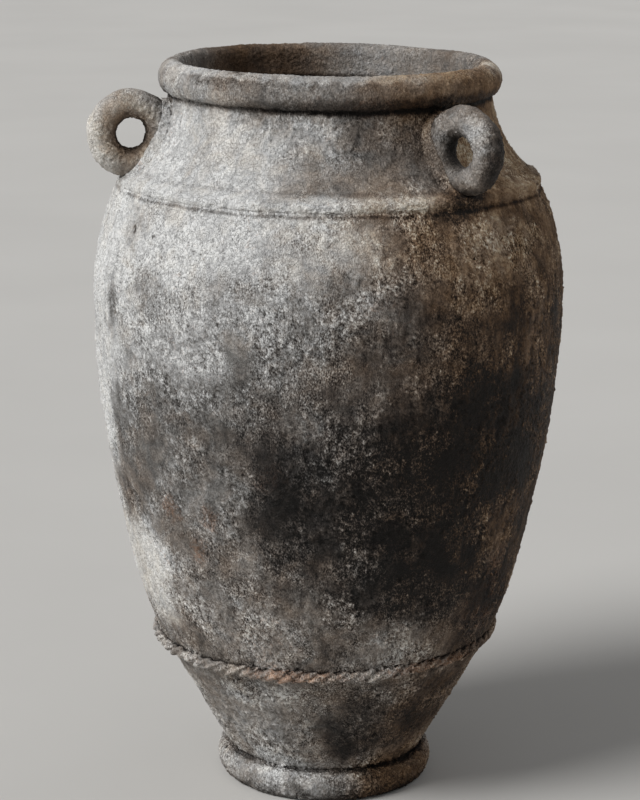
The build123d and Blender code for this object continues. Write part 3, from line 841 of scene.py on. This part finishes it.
    # painted shade: darker where ambient occlusion finds hollows, crevices and joints between pieces; open places take
    # the piece's tone shift
    paintedShadeOcclusion = addNode(tree, "ShaderNodeAmbientOcclusion", {"samples": 6}, {"Distance": paintedShadeReach})
    paintedShadeAndShift = addNode(tree, "ShaderNodeMapRange", {"interpolation_type": "SMOOTHSTEP"}, {
        "Value": paintedShadeOcclusion.outputs["AO"], "From Min": 0.25, "From Max": paintedShadeFrom, "To Min": -paintedShadeDepth,
        "To Max": toneShift})
    shadedTone = addNode(tree, "ShaderNodeMath", {"operation": "ADD"}, {0: varied, 1: paintedShadeAndShift})
    upright = addNode(tree, "ShaderNodeSeparateXYZ", {}, {0: place}).outputs["Z"]
    level = addNode(tree, "ShaderNodeMath", {"operation": "MULTIPLY_ADD"}, {0: mottleMid, 1: 0.012, 2: upright})
    tone = shadedTone
    # painted shade: a dark line along each crease
    for height, halfWidth, amount in creaseShades:
        gap = addNode(tree, "ShaderNodeMath", {"operation": "SUBTRACT"}, {0: level, 1: height})
        gapSize = addNode(tree, "ShaderNodeMath", {"operation": "ABSOLUTE"}, {0: gap})
        line = addNode(tree, "ShaderNodeMapRange", {"interpolation_type": "SMOOTHSTEP"}, {
            "Value": gapSize, "From Min": 0.0, "From Max": halfWidth, "To Min": -amount, "To Max": 0.0})
        tone = addNode(tree, "ShaderNodeMath", {"operation": "ADD"}, {0: tone, 1: line})
    warmPlus = addNode(tree, "ShaderNodeMath", {"operation": "MULTIPLY_ADD"},
        {0: mottleMid, 1: look["mottleWarmth"], 2: washes.outputs["Warmth"]})
    warmth = addNode(tree, "ShaderNodeMath", {"operation": "MULTIPLY_ADD", "use_clamp": True}, {
        0: cloudMid, 1: look["cloudWarmth"], 2: warmPlus})
    ramps = []
    for scale in ("neutral", "warm"):
        ramp = addNode(tree, "ShaderNodeValToRGB", {}, {"Fac": tone})
        while len(ramp.color_ramp.elements) < len(look[scale]):
            ramp.color_ramp.elements.new(0.5)
        for stop, (position, colour) in zip(ramp.color_ramp.elements, look[scale]):
            stop.position = position
            stop.color = toLinear(colour)
        ramps.append(ramp)
    earthy = addNode(tree, "ShaderNodeMix", {"data_type": "RGBA"}, {0: warmth, 6: ramps[0], 7: ramps[1]})
    # rusty and pinkish spots
    rustPlus = addNode(tree, "ShaderNodeMath", {"operation": "MULTIPLY_ADD"},
        {0: grain, 1: 1.3, 2: washes.outputs["Rust"]})
    rustMore = addNode(tree, "ShaderNodeMath", {"operation": "MULTIPLY_ADD"}, {0: mottleMid, 1: 1.0, 2: rustPlus})
    rustShare = addNode(tree, "ShaderNodeMapRange", {"interpolation_type": "SMOOTHSTEP"}, {
        "Value": rustMore, "From Min": look["rustFrom"] - rustShift,
        "From Max": look["rustFrom"] + look["rustOver"] - rustShift,
        "To Max": look["rustMost"]})
    rusty = addNode(tree, "ShaderNodeMix", {"data_type": "RGBA", "blend_type": "MULTIPLY"},
        {0: rustShare, 6: earthy.outputs[2], 7: toLinear(look["rust"])})
    # matt, the smoke a little less so
    roughness = addNode(tree, "ShaderNodeMapRange", {}, {"Value": washes.outputs["Tone"], "From Min": 0.15,
        "From Max": 0.45, "To Min": look["roughness"][0], "To Max": look["roughness"][1]})
    bumpHeight = addNode(tree, "ShaderNodeMix", {}, {0: 0.50, 2: fine, 3: grain})
    bumpGrit = addNode(tree, "ShaderNodeMath", {"operation": "MULTIPLY_ADD"},
        {0: fibreShape, 1: look["fibreBump"], 2: bumpHeight})
    bump = addNode(tree, "ShaderNodeBump", {}, {"Strength": 1.0, "Distance": look["bumpDepth"], "Height": bumpGrit})
    shader = addNode(tree, "ShaderNodeBsdfPrincipled", {}, {
        "Base Color": rusty.outputs[2], "Roughness": roughness, "Normal": bump, "IOR": 1.45,
        "Specular IOR Level": 0.25})
    addNode(tree, "ShaderNodeOutputMaterial", {}, {"Surface": shader})
    return material


wallClay = clay("limeWashedEarthenware", creaseShades=clayLook["creaseShades"])
footClay = clay("footEarthenware", creaseShades=clayLook["creaseShades"])
rimClay = clay("rimEarthenware", creaseShades=clayLook["creaseShades"])
cordonClay = clay("cordonEarthenware", toneShift=0.05, creaseShades=clayLook["cordonCreaseShades"])
# the rope, handles and luting each take their own reach and depth of painted shade in hollows and joints
ropeClay = clay("ropeEarthenware", toneShift=0.13, rustShift=0.18, paintedShadeReach=0.012, paintedShadeFrom=0.92, paintedShadeDepth=0.42)
handleClay = clay("handleEarthenware", toneShift=0.04, paintedShadeReach=0.055, paintedShadeFrom=0.97, paintedShadeDepth=0.34,
    washGroup=handleWashes)
luteClay = clay("lutingClay", toneShift=0.02, paintedShadeDepth=0.16)
print("clay materials made")

finishes = {"floor_disc": ("wall_clay", wallClay), "foot_ring": ("foot_clay", footClay),
    "rim_collar": ("rim_clay", rimClay)}
made = [(piece, name) + finishes.get(name, ("wall_clay", wallClay)) for name, piece in body.items()]
made += [(ropeCordon, "rope_cordon", "cordon_clay", ropeClay), (plainCordon, "shoulder_cordon", "cordon_clay",
    cordonClay)]
made += [(piece, "ring_handle_" + side, "handle_clay", handleClay) for side, piece in handles.items()]
made += [(piece, "handle_lute_" + side, "luting_clay", luteClay) for side, piece in lutes.items()]
for piece, node, slotName, material in made:
    piece.data.materials.clear()
    piece.data.materials.append(material)
    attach(piece, "root")
    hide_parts(node)
print("pieces dressed,", len(made))


# Plain pale floor, broad soft light from the left, a little from the right and from all round
studio = {
    "floorTones": ("#bfbdb9", "#cbc9c5"), "world": "#dadbdd", "worldLight": 0.34,
    "keyRound": -60, "keyUp": 43, "keySpread": 30, "keyLight": 2.85,   # round and up in degrees
    "fillRound": 110, "fillUp": 30, "fillSpread": 60, "fillLight": 0.28,
}


def makeStudio():
    freshSelection()
    bpy.ops.mesh.primitive_plane_add(size=60, location=(0, 0, 0))
    floor = bpy.context.object
    floor.name = "studioFloor"
    paint = bpy.data.materials.new("paleFloorPaint")
    paint.use_nodes = True
    tree = paint.node_tree
    place = addNode(tree, "ShaderNodeTexCoord", {}, {}).outputs["Object"]
    cloud = addNode(tree, "ShaderNodeTexNoise", {}, {"Vector": place, "Scale": 1.2, "Detail": 4.0})
    tone = addNode(tree, "ShaderNodeMix", {"data_type": "RGBA"},
        {0: cloud, 6: toLinear(studio["floorTones"][0]), 7: toLinear(studio["floorTones"][1])})
    shader = tree.nodes["Principled BSDF"]
    tree.links.new(tone.outputs[2], shader.inputs["Base Color"])
    shader.inputs["Roughness"].default_value = 0.8
    floor.data.materials.append(paint)
    world = bpy.data.worlds.new("softLight")
    bpy.context.scene.world = world
    world.use_nodes = True
    world.node_tree.nodes["Background"].inputs["Color"].default_value = toLinear(studio["world"])
    world.node_tree.nodes["Background"].inputs["Strength"].default_value = studio["worldLight"]
    for lamp in ("key", "fill"):
        around, up = math.radians(photoSide + studio[lamp + "Round"]), math.radians(studio[lamp + "Up"])
        away = Vector((math.cos(around) * math.cos(up), math.sin(around) * math.cos(up), math.sin(up)))
        bpy.ops.object.light_add(type="SUN", location=away * 4, rotation=away.to_track_quat("Z", "Y").to_euler())
        light = bpy.context.object
        light.name = lamp + "Lamp"
        light.data.angle = math.radians(studio[lamp + "Spread"])
        light.data.energy = studio[lamp + "Light"]


# The photograph's own view: 3.3 m off, from a little above the mouth
camera = {"away": 3.320, "height": 1.346, "aside": -0.0096, "lens": 112.05, "down": 13.78, "roll": 0.50}


def makeCamera():
    freshSelection()
    side = math.radians(photoSide + 90)
    front = Vector((math.sin(side), -math.cos(side), 0))
    right = Vector((math.cos(side), math.sin(side), 0))
    spot = front * camera["away"] + right * camera["aside"] + Vector((0, 0, camera["height"]))
    bpy.ops.object.camera_add(location=spot)
    eye = bpy.context.object
    eye.name = "photoCamera"
    eye.data.sensor_width = 36
    eye.data.lens = camera["lens"]
    eye.data.clip_end = 200
    turn = Euler((math.radians(90 - camera["down"]), 0,
        side)).to_matrix() @ Matrix.Rotation(math.radians(camera["roll"]), 3, "Z")
    eye.rotation_euler = turn.to_euler()
    bpy.context.scene.camera = eye


makeStudio()
makeCamera()
bpy.context.scene.view_settings.view_transform = "Standard"
print("studio and camera set")

freshSelection()
